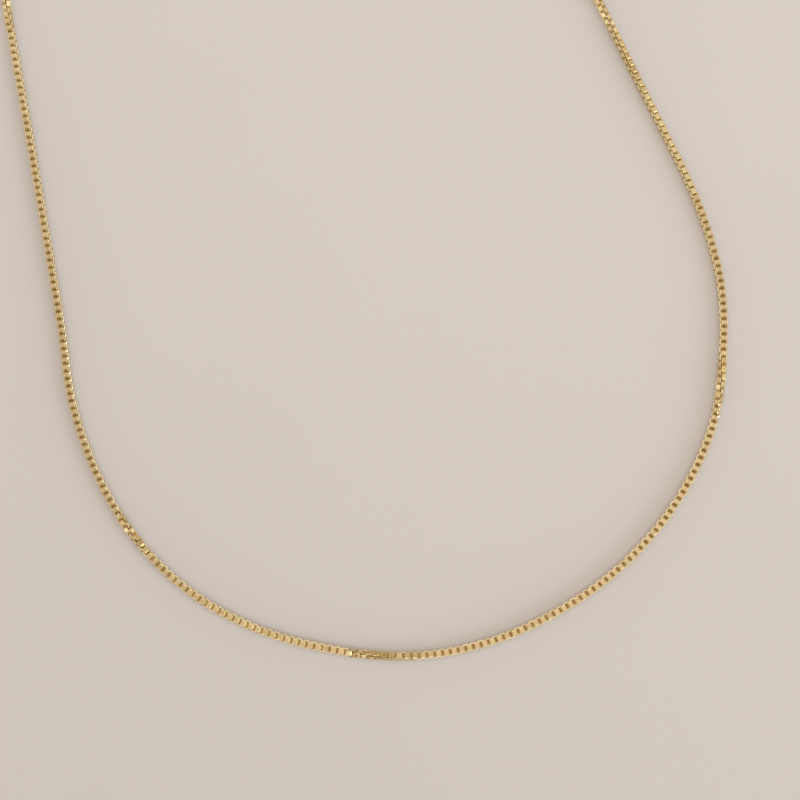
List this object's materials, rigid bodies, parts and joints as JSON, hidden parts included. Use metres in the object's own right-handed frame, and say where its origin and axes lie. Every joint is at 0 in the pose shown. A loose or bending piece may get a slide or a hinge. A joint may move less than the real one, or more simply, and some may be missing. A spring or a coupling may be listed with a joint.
{
  "type": "box chain necklace",
  "caption": "Fine box chain necklace of square links, closed to a loop by a small barrel clasp between jump rings and lying flat.",
  "frame": {"origin": "on the surface under the chain, at the middle of the loop's outline seen from above", "axes": "+Z away from the surface that the chain lies on, +Y up in the picture and towards the clasp end of the loop, +X to the right in the picture"},
  "size_m": [0.113, 0.1777, 0.0028],
  "materials": {
    "chain": "bright polished light-gold plating, darker inside the links",
    "clasp": "polished light-gold plating with fine wear scratches",
    "jump_rings": "polished light-gold wire"
  },
  "bodies": {
    "root": {"chain": "chain", "clasp": "clasp", "jump_ring_left": "jump_rings", "jump_ring_right": "jump_rings"}
  },
  "joints": []
}
